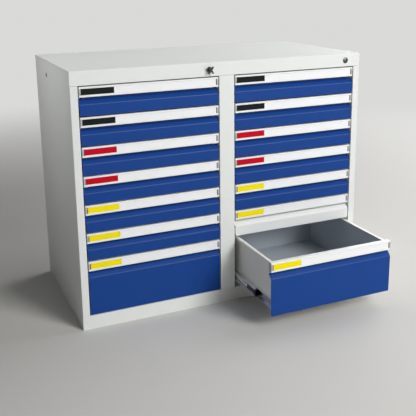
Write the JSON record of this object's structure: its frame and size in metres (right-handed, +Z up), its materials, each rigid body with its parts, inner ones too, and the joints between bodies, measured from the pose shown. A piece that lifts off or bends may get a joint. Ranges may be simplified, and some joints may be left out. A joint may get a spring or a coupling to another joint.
{
  "type": "industrial drawer cabinet",
  "caption": "Two-bay steel drawer cabinet: stacked drawers with leaning handle recesses and label strips, one deep drawer pulled open, locks in the header.",
  "frame": {"origin": "on the floor under the middle of the casing, half way between its front and back planes", "axes": "+X to the right along the width as seen from the drawers' side, +Y from front to back, +Z up; the drawers pull out along -Y"},
  "size_m": [1.109, 0.84, 0.9],
  "materials": {
    "casing": "satin powder coat",
    "blue_front": "satin powder coat",
    "grey_front": "satin powder coat",
    "tray": "satin powder coat",
    "handle": "satin",
    "slide": "zinc plated",
    "lock": "dark nickel plated",
    "key": "moulded",
    "plug": "moulded"
  },
  "bodies": {
    "casing": {"side_panel_left": "casing", "side_panel_right": "casing", "centre_partition": "casing", "top_panel": "casing", "base_panel": "casing", "back_panel": "casing", "side_plug_left": "plug", "side_plug_right": "plug"},
    "left_drawer_1": {"left_drawer_1_front": "blue_front", "left_drawer_1_handle": "handle", "left_drawer_1_tray": "tray"},
    "left_drawer_2": {"left_drawer_2_front": "blue_front", "left_drawer_2_handle": "handle", "left_drawer_2_tray": "tray"},
    "left_drawer_3": {"left_drawer_3_front": "blue_front", "left_drawer_3_handle": "handle", "left_drawer_3_tray": "tray"},
    "left_drawer_4": {"left_drawer_4_front": "blue_front", "left_drawer_4_handle": "handle", "left_drawer_4_tray": "tray"},
    "left_drawer_5": {"left_drawer_5_front": "blue_front", "left_drawer_5_handle": "handle", "left_drawer_5_tray": "tray"},
    "left_drawer_6": {"left_drawer_6_front": "blue_front", "left_drawer_6_handle": "handle", "left_drawer_6_tray": "tray"},
    "left_drawer_7": {"left_drawer_7_front": "blue_front", "left_drawer_7_handle": "handle", "left_drawer_7_tray": "tray"},
    "left_drawer_7_middle_slide_left": {"left_drawer_7_middle_slide_left": "slide"},
    "left_drawer_7_middle_slide_right": {"left_drawer_7_middle_slide_right": "slide"},
    "lock_left": {"lock_cylinder_left": "lock", "lock_key_left": "key"},
    "lock_bar_left": {"lock_bar_left": "slide"},
    "right_drawer_1": {"right_drawer_1_front": "blue_front", "right_drawer_1_handle": "handle", "right_drawer_1_tray": "tray"},
    "right_drawer_2": {"right_drawer_2_front": "blue_front", "right_drawer_2_handle": "handle", "right_drawer_2_tray": "tray"},
    "right_drawer_3": {"right_drawer_3_front": "blue_front", "right_drawer_3_handle": "handle", "right_drawer_3_tray": "tray"},
    "right_drawer_4": {"right_drawer_4_front": "blue_front", "right_drawer_4_handle": "handle", "right_drawer_4_tray": "tray"},
    "right_drawer_5": {"right_drawer_5_front": "blue_front", "right_drawer_5_handle": "handle", "right_drawer_5_tray": "tray"},
    "right_drawer_6": {"right_drawer_6_front": "grey_front", "right_drawer_6_handle": "handle", "right_drawer_6_tray": "tray"},
    "right_drawer_7": {"right_drawer_7_front": "blue_front", "right_drawer_7_handle": "handle", "right_drawer_7_tray": "tray"},
    "right_drawer_7_middle_slide_left": {"right_drawer_7_middle_slide_left": "slide"},
    "right_drawer_7_middle_slide_right": {"right_drawer_7_middle_slide_right": "slide"},
    "lock_right": {"lock_cylinder_right": "lock"},
    "lock_bar_right": {"lock_bar_right": "slide"}
  },
  "joints": [
    {"name": "left_drawer_1_slide", "type": "slide", "parent": "casing", "child": "left_drawer_1", "axis": [0, -1, 0], "range_m": [0, 0.37]},
    {"name": "left_drawer_2_slide", "type": "slide", "parent": "casing", "child": "left_drawer_2", "axis": [0, -1, 0], "range_m": [0, 0.37]},
    {"name": "left_drawer_3_slide", "type": "slide", "parent": "casing", "child": "left_drawer_3", "axis": [0, -1, 0], "range_m": [0, 0.37]},
    {"name": "left_drawer_4_slide", "type": "slide", "parent": "casing", "child": "left_drawer_4", "axis": [0, -1, 0], "range_m": [0, 0.37]},
    {"name": "left_drawer_5_slide", "type": "slide", "parent": "casing", "child": "left_drawer_5", "axis": [0, -1, 0], "range_m": [0, 0.37]},
    {"name": "left_drawer_6_slide", "type": "slide", "parent": "casing", "child": "left_drawer_6", "axis": [0, -1, 0], "range_m": [0, 0.37]},
    {"name": "left_drawer_7_slide", "type": "slide", "parent": "casing", "child": "left_drawer_7", "axis": [0, -1, 0], "range_m": [0, 0.47]},
    {"name": "left_drawer_7_middle_slide_left_run", "type": "slide", "parent": "casing", "child": "left_drawer_7_middle_slide_left", "axis": [0, -1, 0], "range_m": [0, 0.3055]},
    {"name": "left_drawer_7_middle_slide_right_run", "type": "slide", "parent": "casing", "child": "left_drawer_7_middle_slide_right", "axis": [0, -1, 0], "range_m": [0, 0.3055]},
    {"name": "lock_left_turn", "type": "hinge", "parent": "casing", "child": "lock_left", "pos_m": [-0.0655, -0.2825, 0.875], "axis": [0, -1, 0], "range_deg": [0, 90]},
    {"name": "lock_bar_left_lift", "type": "slide", "parent": "casing", "child": "lock_bar_left", "axis": [0, 0, 1], "range_m": [0, 0.009]},
    {"name": "right_drawer_1_slide", "type": "slide", "parent": "casing", "child": "right_drawer_1", "axis": [0, -1, 0], "range_m": [0, 0.37]},
    {"name": "right_drawer_2_slide", "type": "slide", "parent": "casing", "child": "right_drawer_2", "axis": [0, -1, 0], "range_m": [0, 0.37]},
    {"name": "right_drawer_3_slide", "type": "slide", "parent": "casing", "child": "right_drawer_3", "axis": [0, -1, 0], "range_m": [0, 0.37]},
    {"name": "right_drawer_4_slide", "type": "slide", "parent": "casing", "child": "right_drawer_4", "axis": [0, -1, 0], "range_m": [0, 0.37]},
    {"name": "right_drawer_5_slide", "type": "slide", "parent": "casing", "child": "right_drawer_5", "axis": [0, -1, 0], "range_m": [0, 0.37]},
    {"name": "right_drawer_6_slide", "type": "slide", "parent": "casing", "child": "right_drawer_6", "axis": [0, -1, 0], "range_m": [0, 0.37]},
    {"name": "right_drawer_7_slide", "type": "slide", "parent": "casing", "child": "right_drawer_7", "axis": [0, -1, 0], "range_m": [-0.275, 0.195]},
    {"name": "right_drawer_7_middle_slide_left_run", "type": "slide", "parent": "casing", "child": "right_drawer_7_middle_slide_left", "axis": [0, -1, 0], "range_m": [-0.17875, 0.12675]},
    {"name": "right_drawer_7_middle_slide_right_run", "type": "slide", "parent": "casing", "child": "right_drawer_7_middle_slide_right", "axis": [0, -1, 0], "range_m": [-0.17875, 0.12675]},
    {"name": "lock_right_turn", "type": "hinge", "parent": "casing", "child": "lock_right", "pos_m": [0.4905, -0.2825, 0.875], "axis": [0, -1, 0], "range_deg": [0, 90]},
    {"name": "lock_bar_right_lift", "type": "slide", "parent": "casing", "child": "lock_bar_right", "axis": [0, 0, 1], "range_m": [0, 0.009]}
  ],
  "couplings": [
    {"joint": "left_drawer_7_middle_slide_left_run", "follows": "left_drawer_7_slide", "ratio": 0.65},
    {"joint": "left_drawer_7_middle_slide_right_run", "follows": "left_drawer_7_slide", "ratio": 0.65},
    {"joint": "lock_left_turn", "follows": "lock_bar_left_lift", "rad_per_m": 174.5},
    {"joint": "right_drawer_7_middle_slide_left_run", "follows": "right_drawer_7_slide", "ratio": 0.65},
    {"joint": "right_drawer_7_middle_slide_right_run", "follows": "right_drawer_7_slide", "ratio": 0.65},
    {"joint": "lock_right_turn", "follows": "lock_bar_right_lift", "rad_per_m": 174.5}
  ]
}
